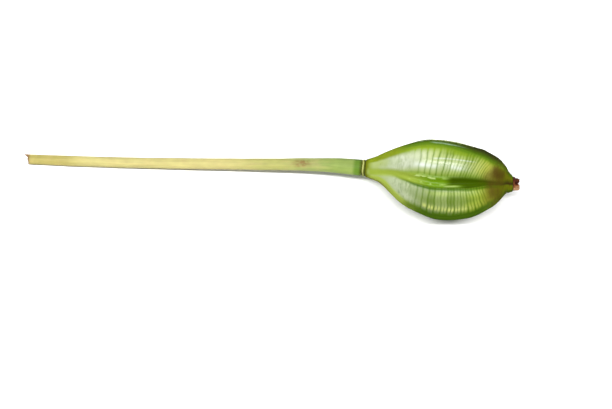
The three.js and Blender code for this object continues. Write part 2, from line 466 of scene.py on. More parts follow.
class ShapeTree(Bench):
    """Geometry node tree that wraps one closed skin round a centre line."""

    def __init__(self, name: str) -> None:
        """Start an empty tree with a geometry output and a seed.

        Args:
            name: The tree's name.
        """
        super().__init__(bpy.data.node_groups.new(name, "GeometryNodeTree"))
        self.tree.interface.new_socket(
            "Geometry", in_out="OUTPUT", socket_type="NodeSocketGeometry"
        )
        self.source = self.add("NodeGroupInput")
        self.result = self.add("NodeGroupOutput")
        self.settings: dict[str, Any] = {}
        self.geometry: Any = None
        self.shift = self.arrow(Field(self.take("Seed", SEED)), 0.0, 0.0)

    def take(self, name: str, value: Any) -> bpy.types.NodeSocket:
        """Add a named input with its value.

        Args:
            name: The input's name.
            value: A whole number, a number or three numbers.

        Returns:
            The socket that gives it inside the tree.
        """
        kinds = {int: "NodeSocketInt", float: "NodeSocketFloat", tuple: "NodeSocketVector"}
        item = self.tree.interface.new_socket(
            name, in_out="INPUT", socket_type=kinds[type(value)]
        )
        self.settings[item.identifier] = value
        return self.source.outputs[name]

    def take_sizes(self, part: Any) -> SimpleNamespace:
        """Make an input of every size of a part.

        Args:
            part: A dataclass whose number fields are sizes.

        Returns:
            The sizes as fields, under their own names.
        """
        sizes = {}
        for entry in fields(part):
            value = getattr(part, entry.name)
            if isinstance(value, float):
                title = entry.name.replace("_", " ").capitalize()
                sizes[entry.name] = Field(self.take(title, value))
        return SimpleNamespace(**sizes)

    def sheet(self, rows: int, columns: int) -> tuple[Field, Field]:
        """Start from a flat sheet, to be wrapped round.

        Args:
            rows: Steps along the piece.
            columns: Steps round it.

        Returns:
            Share from 0 to 1 along the piece, and angle round it.
        """
        grid = self.add(
            "GeometryNodeMeshGrid",
            {
                "Size X": SHEET_SIZE,
                "Size Y": SHEET_SIZE,
                "Vertices X": self.take("Columns", columns + 1),
                "Vertices Y": self.take("Rows", rows + 1),
            },
        )
        self.geometry = grid.outputs["Mesh"]
        spot = Arrow(self.add("GeometryNodeInputPosition").outputs[0])
        across, up, _ = spot.parts()
        return up + SHEET_SIZE / 2, (across + SHEET_SIZE / 2) * FULL_TURN

    def capped(self, share: Field, cap_share: Field) -> tuple[Field, Field]:
        """Keep the first and last rows of a sheet for the ends that close it.

        Args:
            share: Share along the sheet.
            cap_share: Share of the sheet that each end takes.

        Returns:
            Share along the body, and how far each end is open, 0 at its middle and 1 on the body.
        """
        body = ((share - cap_share) / (1.0 - cap_share * 2.0)).share()
        return body, (share.least(1.0 - share) / cap_share).least(1.0)

    def rough(self, place: Arrow, kind: Noise) -> Field:
        """Random pattern from -1 to 1 that the tree's seed shifts."""
        return (place + self.shift).noise(kind).swing()

    def store(self, trait: Trait, value: Wire) -> None:
        """Keep a value on every point under a trait's name.

        Args:
            trait: The trait.
            value: What it holds.
        """
        kind = "FLOAT_VECTOR" if isinstance(value, Arrow) else "FLOAT"
        node = self.add(
            "GeometryNodeStoreNamedAttribute",
            {"Geometry": self.geometry, "Name": trait.value},
            data_type=kind,
            domain="POINT",
        )
        self.feed(node.inputs["Value"], value)
        self.geometry = node.outputs["Geometry"]

    def follow(self, line: CentreLine, distance: Number) -> SimpleNamespace:
        """Find the point and directions of a centre line at a distance along it.

        Args:
            line: The centre line.
            distance: How far along it.

        Returns:
            Its point, and the directions along, to the side and up.
        """
        curve = self.add(
            "GeometryNodeCurvePrimitiveBezierSegment",
            {
                "Resolution": self.take("Line steps", line.steps),
                "Start": self.take("Line start", line.start),
                "Start Handle": self.take("Line start handle", line.start_handle),
                "End Handle": self.take("Line end handle", line.end_handle),
                "End": self.take("Line end", line.end),
            },
            mode="POSITION",
        )
        sample = self.add(
            "GeometryNodeSampleCurve",
            {"Curves": curve.outputs["Curve"], "Length": distance},
            mode="LENGTH",
        )
        along = Arrow(sample.outputs["Tangent"]).unit()
        side = (along.cross((0.0, 0.0, 1.0)) * -1.0).unit()
        point = Arrow(sample.outputs["Position"])
        return SimpleNamespace(point=point, along=along, side=side, up=along.cross(side))

    def outward(self, frame: SimpleNamespace, radius: Field, turn: Field) -> Arrow:
        """Way out from the centre line.

        Args:
            frame: Directions of the centre line.
            radius: How far out.
            turn: Angle from straight up.

        Returns:
            The step from the line to the skin.
        """
        return frame.up * (radius * turn.cosine()) + frame.side * (radius * turn.sine() * -1.0)

    def place(self, spot: Arrow) -> None:
        """Move every point of the sheet to its spot, or up to the surface if that is higher.

        Args:
            spot: Where each point goes.
        """
        x, y, z = spot.parts()
        node = self.add(
            "GeometryNodeSetPosition",
            {"Geometry": self.geometry, "Position": self.arrow(x, y, z.most(0.0))},
        )
        self.geometry = node.outputs["Geometry"]

    def _close(self, finish: bpy.types.Material) -> None:
        """Weld the seam and the ends, go to metres and give the skin its finish.

        Args:
            finish: The material.
        """
        welded = self.add(
            "GeometryNodeMergeByDistance",
            {"Geometry": self.geometry, "Distance": self.take("Weld", WELD)},
        )
        scaled = self.add(
            "GeometryNodeTransform",
            {"Geometry": welded.outputs[0], "Scale": (METRES, METRES, METRES)},
        )
        smooth = self.add("GeometryNodeSetShadeSmooth", {"Geometry": scaled.outputs[0]})
        real = self.add("GeometryNodeRealizeInstances", {"Geometry": smooth.outputs[0]})
        dressed = self.add("GeometryNodeSetMaterial", {"Geometry": real.outputs[0]})
        dressed.inputs["Material"].default_value = finish
        self.feed(self.result.inputs["Geometry"], dressed.outputs[0])

    def grow(self, name: str, finish: bpy.types.Material) -> bpy.types.Object:
        """Close the skin, run the tree and keep its result as a plain mesh.

        Args:
            name: The piece's name.
            finish: Its material.

        Returns:
            The piece.
        """
        self._close(finish)
        piece = bpy.data.objects.new(name, bpy.data.meshes.new(name))
        bpy.context.scene.collection.objects.link(piece)
        modifier = piece.modifiers.new(name, "NODES")
        modifier.node_group = self.tree
        for identifier, value in self.settings.items():
            modifier[identifier] = value
        depsgraph = bpy.context.evaluated_depsgraph_get()
        mesh = bpy.data.meshes.new_from_object(
            piece.evaluated_get(depsgraph), preserve_all_data_layers=True, depsgraph=depsgraph
        )
        piece.modifiers.remove(modifier)
        piece.data = mesh
        return piece


def nearest_face(turn: Field) -> Field:
    """Number of the face whose middle is nearest to an angle."""
    return (turn / FACE_TURN + 0.5).floor()


@dataclass(frozen=True)
class CentreLine:
    """A bent line that a piece grows along."""

    start: Point
    start_handle: Point
    end_handle: Point
    end: Point
    steps: int = 96


JOINT: Point = (-24.2, 2.55, 10.6)
JOINT_DIRECTION: Point = (1.0, -0.06, 0.14)
JOINT_REACH = 10.0
JOINT_GAP = 0.15
GAP_FILL = 0.8
RING_HALF_LENGTH = 0.5
CAPSULE_END = 47.6


def past_joint(distance: float) -> Point:
    """Point on the tangent at the joint of stem and capsule, this far towards the beak."""
    x, y, z = (place + distance * step for place, step in zip(JOINT, JOINT_DIRECTION))
    return (x, y, z)


STEM_LINE = CentreLine(
    start=(-133.9, 5.65, 1.66),
    start_handle=(-63.0, 2.8, 3.2),
    end_handle=(-43.0, 4.9, 8.9),
    end=JOINT,
)
CAPSULE_LINE = CentreLine(
    start=JOINT,
    start_handle=past_joint(JOINT_REACH),
    end_handle=(3.4, -2.8, 13.3),
    end=(23.7, -2.5, 14.0),
)


class FinishTree(Bench):
    """Shader tree of one material, around one Principled BSDF."""

    def __init__(self, name: str, **constants: float) -> None:
        """Start a material.

        Args:
            name: The material's name.
            constants: Principled values that are the same all over, by socket name with _ for space.
        """
        self.material = bpy.data.materials.new(name)
        self.material.use_nodes = True
        super().__init__(self.material.node_tree)
        self.tree.nodes.clear()
        self.skin = self.add("ShaderNodeBsdfPrincipled")
        output = self.add("ShaderNodeOutputMaterial")
        self.tree.links.new(self.skin.outputs["BSDF"], output.inputs["Surface"])
        for socket, value in constants.items():
            self.skin.inputs[socket.replace("_", " ")].default_value = value

    def read(self, trait: Trait) -> Field:
        """Read a number stored on the skin."""
        return Field(self.add("ShaderNodeAttribute", attribute_name=trait.value).outputs["Fac"])

    def read_place(self) -> Arrow:
        """Read the place on the straightened piece, in millimetres."""
        node = self.add("ShaderNodeAttribute", attribute_name=Trait.PLACE.value)
        return Arrow(node.outputs["Vector"])

    def effect(self, group: bpy.types.NodeTree, **inputs: Any) -> Field:
        """Place a shared effect.

        Args:
            group: The effect's node group.
            inputs: Its inputs by name.

        Returns:
            Its one output.
        """
        node = self.add("ShaderNodeGroup", node_tree=group)
        for name, value in inputs.items():
            self.feed(node.inputs[name], value)
        return Field(node.outputs[0])

    def finish(self, colour: Paint, roughness: Field, height: Field, depth: float) -> None:
        """Join the surface's changing values to the shader.

        Args:
            colour: Base colour.
            roughness: Roughness.
            height: Height of the fine relief, from 0 to 1.
            depth: Depth of that relief in millimetres.
        """
        self.feed(self.skin.inputs["Base Color"], colour)
        self.feed(self.skin.inputs["Roughness"], roughness)
        bump = self.add("ShaderNodeBump", {"Height": height, "Distance": depth * METRES})
        self.feed(self.skin.inputs["Normal"], bump.outputs["Normal"])


class EffectTree(Bench):
    """A shader node group that several materials share."""

    def __init__(self, name: str, output: str, **inputs: float) -> None:
        """Start a group that reads a place and puts out one number.

        Args:
            name: The group's name.
            output: The name of its output.
            inputs: Its number inputs and their usual values.
        """
        super().__init__(bpy.data.node_groups.new(name, "ShaderNodeTree"))
        sockets = self.tree.interface
        sockets.new_socket("Place", in_out="INPUT", socket_type="NodeSocketVector")
        for title, value in inputs.items():
            item = sockets.new_socket(title, in_out="INPUT", socket_type="NodeSocketFloat")
            item.default_value = value
        sockets.new_socket(output, in_out="OUTPUT", socket_type="NodeSocketFloat")
        self.source = self.add("NodeGroupInput")
        self.result = self.add("NodeGroupOutput")

    def number(self, name: str) -> Field:
        """One of the group's number inputs."""
        return Field(self.source.outputs[name])

    def spot(self) -> Arrow:
        """The place that the group reads."""
        return Arrow(self.source.outputs["Place"])

    def drawn_out(self) -> Arrow:
        """The place with its length scaled by the group's stretch."""
        along, y, z = self.spot().parts()
        return self.arrow(along * self.number("Stretch"), y, z)

    def give(self, value: Field) -> bpy.types.NodeTree:
        """Join the result to the group's output.

        Args:
            value: The result.

        Returns:
            The finished group.
        """
        self.feed(self.result.inputs[0], value)
        return self.tree


@dataclass
class SharedEffects:
    """Effects that more than one finish uses."""

    fibres: bpy.types.NodeTree
    freckles: bpy.types.NodeTree
    grain: bpy.types.NodeTree

    @classmethod
    def build(cls) -> SharedEffects:
        """Build each effect once."""
        return cls(cls._fibres(), cls._freckles(), cls._grain())

    @staticmethod
    def _fibres() -> bpy.types.NodeTree:
        """Streaks that run lengthwise, such as the strands of a stem.

        Returns:
            The effect's node group.
        """
        tree = EffectTree("lengthwise fibres", "Streak", Fineness=2.0, Stretch=0.06)
        strands = tree.drawn_out().noise(Noise(tree.number("Fineness"), detail=3.0))
        dark_below, pale_above = 0.3, 0.7
        return tree.give(strands.rise(dark_below, pale_above))

    @staticmethod
    def _freckles() -> bpy.types.NodeTree:
        """Scattered stains with soft edges.

        Returns:
            The effect's node group.
        """
        tree = EffectTree("brown freckles", "Stain", Fineness=0.5, Threshold=0.6, Softness=0.08)
        cloud = tree.spot().noise(Noise(tree.number("Fineness"), detail=4.0, roughness=0.6))
        threshold = tree.number("Threshold")
        return tree.give(cloud.rise(threshold, threshold + tree.number("Softness")))

    @staticmethod
    def _grain() -> bpy.types.NodeTree:
        """Fine grain of a plant's skin, a little longer than wide.

        Returns:
            The effect's node group.
        """
        tree = EffectTree("skin grain", "Height", Fineness=3.0, Stretch=0.5)
        kind = Noise(tree.number("Fineness"), detail=3.0, roughness=0.6)
        return tree.give(tree.drawn_out().noise(kind))


@dataclass(frozen=True)
class Rise:
    """Mask that eases from 0 at its start to 1 at its end, which may also lie before the start."""

    start: float
    end: float

    def of(self, value: Field) -> Field:
        """The mask at a value."""
        return value.rise(self.start, self.end)


@dataclass(frozen=True)
class Between:
    """Mask that rises over its first two numbers and falls over its last two."""

    start: float
    full: float
    falling: float
    end: float

    def of(self, value: Field) -> Field:
        """The mask at a value."""
        return value.rise(self.start, self.full) * value.rise(self.end, self.falling)


@dataclass(frozen=True)
class Bell:
    """Mask that is 1 at its middle and fades away on both sides."""

    middle: float
    width: float

    def of(self, value: Field) -> Field:
        """The mask at a value."""
        return (value - self.middle).bell(self.width)


@dataclass(frozen=True)
class Blend:
    """Mask that goes straight from one number where a value is 0 to another where it is 1."""

    low: float
    high: float

    def of(self, value: Field) -> Field:
        """The mask at a value."""
        return value.to(self.low, self.high)


Mask = Union[Rise, Between, Bell, Blend]
AS_IS = Blend(0.0, 1.0)
INVERSE = Blend(1.0, 0.0)


@dataclass(frozen=True)
class Ramp:
    """Colours along one value of a skin."""

    value: str
    stops: Stops

    def of(self, skin: SimpleNamespace) -> Paint:
        """The colour at each point."""
        return getattr(skin, self.value).ramp(self.stops)


class Cover:
    """How much of something shows, as a product of masks that each read one value of a skin."""

    def __init__(self, share: float = 1.0, **masks: Mask) -> None:
        """Hold the masks.

        Args:
            share: How much shows where every mask is 1.
            masks: The masks, by the names of the values that they read.
        """
        self.share = share
        self.masks = masks

    def of(self, skin: SimpleNamespace) -> Number:
        """Work out the product at each point.

        Args:
            skin: What was read from the skin.

        Returns:
            How much shows.
        """
        cover: Number = self.share
        for name, mask in self.masks.items():
            cover = mask.of(getattr(skin, name)) * cover
        return cover


class Layer(Cover):
    """A colour, and where it shows over the colours below."""

    def __init__(self, colour: Union[Colour, Ramp], share: float = 1.0, **masks: Mask) -> None:
        """Hold the colour and its masks.

        Args:
            colour: A plain colour or a ramp.
            share: How much of it shows where every mask is 1.
            masks: The masks, by the names of the values that they read.
        """
        super().__init__(share, **masks)
        self.colour = colour

    def over(self, ground: Paint, skin: SimpleNamespace) -> Paint:
        """Lay the colour over a ground.

        Args:
            ground: The colours below.
            skin: What was read from the skin.

        Returns:
            The blend.
        """
        colour = self.colour.of(skin) if isinstance(self.colour, Ramp) else self.colour
        return ground.toward(colour, self.of(skin))


class Coats:
    """A ground and the layers over it."""

    def __init__(self, ground: Ramp, *layers: Layer) -> None:
        """Hold the ground, and the layers in order."""
        self.ground = ground
        self.layers = layers

    def of(self, skin: SimpleNamespace) -> Paint:
        """Blend the layers.

        Args:
            skin: What was read from the skin.

        Returns:
            The colour.
        """
        colour = self.ground.of(skin)
        for layer in self.layers:
            colour = layer.over(colour, skin)
        return colour


DULL_SKIN = {"IOR": 1.45, "Specular_IOR_Level": 0.15}


@dataclass(frozen=True)
class StemFinish:
    """Straw-coloured stem that turns green towards the capsule."""

    cut: Colour = tint(150, 112, 72)
    dry_straw: Colour = tint(190, 178, 102)
    straw: Colour = tint(208, 198, 128)
    pale_green: Colour = tint(180, 180, 104)
    green: Colour = tint(162, 174, 100)
    leaf: Colour = tint(144, 164, 84)
    band: Colour = tint(98, 132, 40)
    rim: Colour = tint(78, 96, 18)
    blotch: Colour = tint(136, 100, 56)
    blush: Colour = tint(212, 184, 128)
    pith: Colour = tint(206, 158, 112)
    ground: Stops = (
        (-1.5, cut), (0.3, cut), (1.2, dry_straw), (10.0, dry_straw), (21.0, straw), (62.0, straw),
        (82.0, pale_green), (93.0, green), (101.0, leaf), (106.3, leaf), (107.7, band),
        (108.6, band), (109.2, rim), (109.5, rim),
    )
    coats: Coats = Coats(
        Ramp("along", ground),
        Layer(blotch, along=Bell(90.4, 3.0), smear=Blend(0.38, 0.855), aside=Rise(1.5, 0.7)),
        Layer(blush, 0.2, freckles=AS_IS, along=Rise(103.0, 95.0)),
    )
    blotch_side: float = -0.2
    smear: Noise = Noise(1.3, detail=4.0, stretch=(0.8, 1.0, 1.0))
    smear_edge: Rise = Rise(0.42, 0.6)
    blush_stretch: Point = (0.4, 1.0, 1.0)
    side_shade: float = 0.14
    edge_light: float = 0.035
    streak_light: float = 0.08
    mottle: Noise = Noise(0.7, detail=4.0, stretch=(0.5, 1.0, 1.0))
    mottle_light: float = 0.18
    roughness: Blend = Blend(0.5, 0.65)
    relief: float = 0.05

    def material(self, effects: SharedEffects) -> bpy.types.Material:
        """Build the material.

        Args:
            effects: The shared effects.

        Returns:
            The material.
        """
        tree = FinishTree("stem_skin", **DULL_SKIN)
        place = tree.read_place()
        _, _, side = place.parts()
        streak = tree.effect(effects.fibres, Place=place, Fineness=1.8, Stretch=0.04)
        grain = tree.effect(effects.grain, Place=place, Fineness=3.5, Stretch=0.15)
        drawn = place.stretched(self.blush_stretch)
        skin = SimpleNamespace(along=tree.read(Trait.ALONG), aside=abs(side - self.blotch_side))
        skin.smear = self.smear_edge.of(place.noise(self.smear))
        skin.freckles = tree.effect(
            effects.freckles, Place=drawn, Fineness=0.8, Threshold=0.45, Softness=0.2
        )
        shade = side * self.side_shade + side * side * self.edge_light
        mottle = place.noise(self.mottle).swing() * self.mottle_light
        light = 1.0 + shade + streak.swing() * self.streak_light + mottle
        colour = self.coats.of(skin).lit(light).toward(self.pith, 1.0 - tree.read(Trait.RAISED))
        tree.finish(colour, self.roughness.of(streak), grain, self.relief)
        return tree.material


@dataclass
class Stem:
    """Cut flower stalk, from its slanted cut to just short of the scar ring."""

    line: CentreLine = STEM_LINE
    length: float = 109.5
    cut_slant: float = 0.16
    cut_lean: float = 0.3
    cut_reach: float = 6.0
    ragged: float = 0.6
    ragged_noise: Noise = Noise(1.7, detail=3.0)
    sliver_reach: float = 1.1
    sliver_turn: float = 285.0
    sliver_width: float = 22.0
    dish: float = 0.5
    pith_edge: Rise = Rise(0.45, 0.95)
    strand_height: float = 0.05
    strand_noise: Noise = Noise(1.5, stretch=(0.04, 1.0, 1.0))
    lump_height: float = 0.12
    lump_noise: Noise = Noise(0.22, detail=1.0, stretch=(0.5, 1.0, 1.0))
    cap_share: float = 0.02
    radii: tuple[Pair, ...] = (
        (0.0, 1.62), (30.0, 1.7), (60.0, 1.78), (82.0, 1.92), (95.0, 2.17), (103.0, 2.46),
        (109.5, 2.66),
    )
    rows: int = 420
    columns: int = 56

    def build(self, finish: bpy.types.Material) -> bpy.types.Object:
        """Grow the stem.

        Args:
            finish: Its material.

        Returns:
            The piece.
        """
        tree = ShapeTree("stem_shape")
        size = tree.take_sizes(self)
        share, turn = tree.sheet(self.rows, self.columns)
        body, ends = tree.capped(share, size.cap_share)
        opened = (share / size.cap_share).share()
        plain = body * size.length
        mean = plain.curve(self.radii)
        straight = tree.arrow(plain, mean * turn.cosine(), mean * turn.sine())

        slant = mean * (turn.sine() * size.cut_slant + turn.cosine() * size.cut_lean)
        frayed = tree.rough(straight, self.ragged_noise) * size.ragged
        sliver = (turn - size.sliver_turn).bell(size.sliver_width) * size.sliver_reach
        hollow = (1.0 - opened * opened) * size.dish
        cut = (slant + frayed - sliver) * opened + hollow
        distance = plain + cut * (1.0 - plain.rise(0.0, size.cut_reach))
        strands = tree.rough(straight, self.strand_noise) * size.strand_height
        lumps = tree.rough(straight, self.lump_noise) * size.lump_height
        radius = (mean + strands + lumps) * ends

        tree.store(Trait.PLACE, straight)
        tree.store(Trait.ALONG, distance)
        tree.store(Trait.RAISED, self.pith_edge.of(opened))
        frame = tree.follow(self.line, distance.most(0.0))
        before = frame.along * distance.least(0.0)
        tree.place(frame.point + before + tree.outward(frame, radius, turn))
        return tree.grow("cut_stem", finish)


@dataclass(frozen=True)
class RingFinish:
    """Cream scar between two brown creases."""

    cream: Colour = tint(180, 186, 108)
    crease: Colour = tint(78, 86, 14)
    brown: Colour = tint(98, 92, 22)
    ground: Stops = ((0.0, crease), (0.3, crease), (0.55, brown), (0.8, cream), (1.0, cream))
    coats: Coats = Coats(Ramp("raised", ground), Layer(brown, 0.4, stain=AS_IS))
    roughness: Blend = Blend(0.65, 0.85)
    relief: float = 0.08

    def material(self, effects: SharedEffects) -> bpy.types.Material:
        """Build the material.

        Args:
            effects: The shared effects.

        Returns:
            The material.
        """
        tree = FinishTree("scar_ring_skin", **DULL_SKIN)
        place = tree.read_place()
        grain = tree.effect(effects.grain, Place=place, Fineness=5.0, Stretch=1.0)
        skin = SimpleNamespace(raised=tree.read(Trait.RAISED))
        skin.stain = tree.effect(
            effects.freckles, Place=place, Fineness=1.1, Threshold=0.5, Softness=0.2
        )
        tree.finish(self.coats.of(skin), self.roughness.of(grain), grain, self.relief)
        return tree.material


@dataclass
class ScarRing:
    """Thin ring where the petals and stamens dropped off."""

    line: CentreLine = CAPSULE_LINE
    half_length: float = RING_HALF_LENGTH + JOINT_GAP * GAP_FILL
    base_radius: float = 2.56
    lip_height: float = 0.16
    lip_place: float = -0.12
    lip_width: float = 0.36
    scars: int = 2 * FACES
    scar_depth: float = 0.08
    scar_edge: Rise = Rise(0.55, 1.0)
    wander: float = 0.26
    wander_noise: Noise = Noise(0.45, stretch=(0.0, 1.0, 1.0))
    ragged: float = 0.07
    ragged_noise: Noise = Noise(2.2, detail=3.0)
    cap_share: float = 0.12
    rows: int = 44
    columns: int = 120

    def build(self, finish: bpy.types.Material) -> bpy.types.Object:
        """Grow the ring.

        Args:
            finish: Its material.

        Returns:
            The piece.
        """
        tree = ShapeTree("scar_ring_shape")
        size = tree.take_sizes(self)
        share, turn = tree.sheet(self.rows, self.columns)
        body, ends = tree.capped(share, size.cap_share)
        offset = body.swing() * size.half_length
        straight = tree.arrow(offset, turn.cosine() * size.base_radius, turn.sine() * size.base_radius)
        drift = tree.rough(straight, self.wander_noise) * size.wander
        lip = (offset - size.lip_place + drift).bell(size.lip_width)
        scars = self.scar_edge.of((turn * self.scars).cosine()) * size.scar_depth
        rough = tree.rough(straight, self.ragged_noise) * size.ragged
        radius = (size.base_radius + lip * (size.lip_height - scars) + rough) * ends

        tree.store(Trait.PLACE, straight)
        tree.store(Trait.RAISED, lip)
        frame = tree.follow(self.line, 0.0)
        tree.place(frame.point + frame.along * offset + tree.outward(frame, radius, turn))
        return tree.grow("petal_scar_ring", finish)


@dataclass(frozen=True)
class Spot:
    """A soft brown patch, for stains and for painted shade beside the seam."""

    along: float
    turn: float
    radius: float
    reach: float
    strength: float

    def centre(self) -> Point:
        """Middle of the stain on the straightened capsule."""
        angle = math.radians(self.turn)
        return (self.along, self.radius * math.cos(angle), self.radius * math.sin(angle))


@dataclass(frozen=True)
class CapsuleFinish:
    """Glossy green skin with thin pale panels, barred by the seeds behind them."""

    rim: Colour = tint(106, 112, 18)
    neck: Colour = tint(168, 183, 112)
    corner: Colour = tint(104, 133, 36)
    corner_deep: Colour = tint(72, 100, 14)
    crest: Colour = tint(122, 150, 34)
    crest_deep: Colour = tint(94, 128, 25)
    dusk: Colour = tint(64, 80, 16)
    dusk_deep: Colour = tint(50, 56, 16)
    shoulder_green: Colour = tint(132, 148, 32)
    low_rim: Colour = tint(176, 196, 80)
    low_corner_shade: Colour = tint(72, 108, 2)
    scuff: Colour = tint(126, 114, 52)
    lime: Colour = tint(138, 164, 40)
    glint: Colour = tint(176, 206, 176)
    window: Colour = tint(178, 192, 148)
    silver: Colour = tint(204, 212, 184)
    haze: Colour = tint(132, 148, 108)
    # Colour of the painted sheen and thread highlights.
    white: Colour = tint(240, 247, 240)
    bar: Colour = tint(131, 147, 90)
    bar_green: Colour = tint(116, 138, 52)
    pale_bar: Colour = tint(179, 194, 133)
    seam_end: Colour = tint(156, 178, 74)
    gap: Colour = tint(82, 114, 12)
    bar_end: Colour = tint(186, 192, 80)
    low_yellow: Colour = tint(182, 197, 72)
    low_bar_end: Colour = tint(148, 155, 46)
    low_seam_end: Colour = tint(188, 208, 116)
    edge_silver: Colour = tint(214, 222, 184)
    edge: Colour = tint(194, 208, 132)
    edge_green: Colour = tint(166, 186, 90)
    dab: Colour = tint(214, 226, 124)
    seam_neck: Colour = tint(150, 170, 62)
    seam: Colour = tint(106, 144, 14)
    seam_glint: Colour = tint(196, 220, 130)
    seam_dark: Colour = tint(60, 84, 2)
    # Colour of the painted shade in the crease beside the seam.
    fold: Colour = tint(70, 108, 0)
    seam_olive: Colour = tint(74, 76, 16)
    seam_brown: Colour = tint(54, 40, 18)
    shoulder: Colour = tint(104, 111, 14)
    beak: Colour = tint(82, 102, 10)
    # Brown of the stains, also laid as painted shade beside the seam near the beak.
    stain: Colour = tint(80, 62, 20)

    corner_ground: Stops = (
        (0.65, rim), (2.2, shoulder_green), (10.0, shoulder_green), (15.0, corner), (39.0, corner),
        (43.5, shoulder), (46.0, beak),
    )
    # Painted shade: by flank, the corner band darkens towards its outline on the +Y side; the lighter
    # stops are the ridge's own lime and green.
    flank_shade: Stops = (
        (0.62, lime), (0.68, crest), (0.76, crest_deep), (0.83, corner_deep), (0.88, dusk),
        (0.95, dusk_deep),
    )
    corner_coats: Coats = Coats(
        Ramp("along", corner_ground),
        Layer(corner_deep, 0.4, cloud=Rise(0.4, 0.7), along=Rise(10.0, 16.0)),
        Layer(corner_deep, 0.4, strands=AS_IS),
        Layer(
            lime, 0.85, around=Bell(44.0, 5.0), along=Between(12.0, 18.0, 37.0, 42.0), pale_side=AS_IS
        ),
        Layer(low_rim, flank=Rise(-0.1, -0.6), along=Rise(1.0, 3.0), ripening=Rise(22.0, 11.5)),
        # Painted shade: a thin brown darkening along both outlines near the neck.
        Layer(scuff, 0.6, steep=Rise(0.84, 0.98), along=Rise(11.0, 6.0)),
        # Painted shade: the corner band darker and more saturated where it faces -Y.
        Layer(
            low_corner_shade, 0.85, flank=Rise(-0.5, -0.85), ripening=Rise(11.5, 22.0),
            along=Rise(42.0, 37.0),
        ),
        # Painted shade towards the corner band's outline on the +Y side.
        Layer(
            Ramp("tilt", flank_shade), flank=Rise(0.4, 0.55), along=Between(8.0, 15.0, 42.0, 46.5)
        ),
        # Painted reflection: a thin glint line along the corner band near its +Y outline.
        Layer(
            glint, flank=Bell(0.8, 0.016), along=Between(19.0, 22.0, 26.0, 33.0),
            wave=Blend(0.2, 0.8),
        ),
    )

    lower_ground: Stops = (
        (4.0, neck), (9.0, window), (15.0, window), (20.0, bar), (29.0, bar), (35.5, low_yellow),
        (39.5, low_bar_end), (43.5, shoulder),
    )
    upper_ground: Stops = (
        (4.0, neck), (9.0, window), (14.0, silver), (20.0, pale_bar), (30.0, pale_bar),
        (39.5, bar_end), (43.5, shoulder),
    )
    upper_edge: Stops = (
        (12.0, edge_silver), (17.0, edge_silver), (23.0, edge), (27.0, edge), (32.0, edge_green),
    )
    ripe: Between = Between(9.0, 17.0, 33.0, 40.0)
    panel_coats: Coats = Coats(
        Ramp("ripening", lower_ground),
        Layer(Ramp("ripening", upper_ground), pale_side=AS_IS),
        Layer(silver, 0.6, clear=AS_IS, cloud=Rise(0.35, 0.6)),
        Layer(haze, clear=AS_IS, mottle=Rise(0.45, 0.7), pale_side=Blend(0.95, 0.5)),
        Layer(haze, 0.9, along=Bell(17.3, 3.3), around=Bell(26.0, 9.0), pale_side=INVERSE),
        Layer(seam_end, 0.85, near=AS_IS, along=ripe, pale_side=AS_IS),
        Layer(
            low_seam_end, 0.8, around=Bell(19.0, 5.0), along=Between(18.5, 24.0, 33.0, 40.0),
            pale_side=INVERSE,
        ),
        Layer(
            bar_green, 0.75, around=Bell(31.5, 6.5), along=Between(16.0, 20.0, 33.0, 40.0),
            pale_side=INVERSE,
        ),
        Layer(Ramp("along", upper_edge), 0.8, far=AS_IS, along=ripe),
        Layer(
            lime, around=Rise(37.0, 43.0), along=ripe, pale_side=AS_IS, late=Blend(0.15, 0.85)
        ),
        Layer(gap, seed=AS_IS, along=ripe, pale_side=Blend(0.35, 0.2)),
        Layer(pale_bar, 0.3, seed=INVERSE, along=ripe, pale_side=INVERSE),
        # Painted highlight: the white sheen and thread across the upper panel.
        Layer(white, 0.66, sheen=AS_IS, cloud=Rise(0.2, 0.5), pale_side=AS_IS),
        Layer(dab, dabs=AS_IS, seed=Blend(0.75, 1.0)),
        Layer(gap, line=AS_IS, along=Between(14.0, 19.0, 37.5, 40.5)),
    )

    seam_ground: Stops = (
        (0.8, neck), (2.5, seam_neck), (14.0, seam_neck), (22.5, seam), (25.0, seam),
        (28.5, seam_dark), (38.0, seam_dark), (43.0, seam_olive), (46.5, seam_brown),
    )
    seam_coats: Coats = Coats(
        Ramp("along", seam_ground),
        Layer(
            seam, 0.8, around=Rise(3.0, 7.0), along=Between(25.0, 29.0, 28.5, 33.0),
            pale_side=INVERSE,
        ),
        # Painted highlights: glints along the seam's lips.
        Layer(seam_glint, glow=AS_IS),
    )
    # Painted shade: darkens the crease beside the seam, mostly on its lower side.
    crease_shade_layer: Layer = Layer(fold, 0.9, crease=AS_IS)
    speck_cover: Cover = Cover(0.2, speck=AS_IS)
    wither_cover: Cover = Cover(0.35, along=Rise(38.0, 42.0), mottle=Rise(0.45, 0.65))
    spots: tuple[Spot, ...] = (
        Spot(41.3, -22.0, 7.2, 2.2, 0.85),
        # Painted shade: the next four patches darken the skin beside the seam near the beak.
        Spot(38.4, -7.0, 7.8, 1.6, 0.55),
        Spot(40.4, -10.0, 7.2, 2.1, 0.7),
        Spot(42.0, -12.0, 6.3, 1.9, 0.85),
        Spot(43.7, -9.0, 5.3, 1.5, 0.55),
        Spot(40.8, 28.0, 7.3, 2.8, 0.85),
        Spot(42.0, 125.0, 6.8, 2.8, 0.9),
        Spot(41.6, 215.0, 7.0, 2.8, 0.8),
    )
    spot_drift: float = 0.8

    cloud: Noise = Noise(0.35, detail=3.0)
    mottle: Noise = Noise(0.8, detail=3.0, stretch=(1.7, 0.6, 0.6))
    wave: Noise = Noise(0.9, stretch=(0.4, 1.0, 1.0))
    unevenness: Noise = Noise(0.45, detail=1.0)
    count_shift: float = 0.11
    ripening_shift: float = 2.5
    strand_start: float = 0.6
    # Moves the painted corner shade further in towards the beak.
    tilt: float = 0.16
    tilt_start: Rise = Rise(20.0, 48.0)
    clear_places: Blend = Blend(15.0, 13.0)
    clear_width: float = 5.0
    near: Rise = Rise(23.0, 12.0)
    far: Rise = Rise(31.0, 37.0)
    late: Rise = Rise(22.0, 28.0)
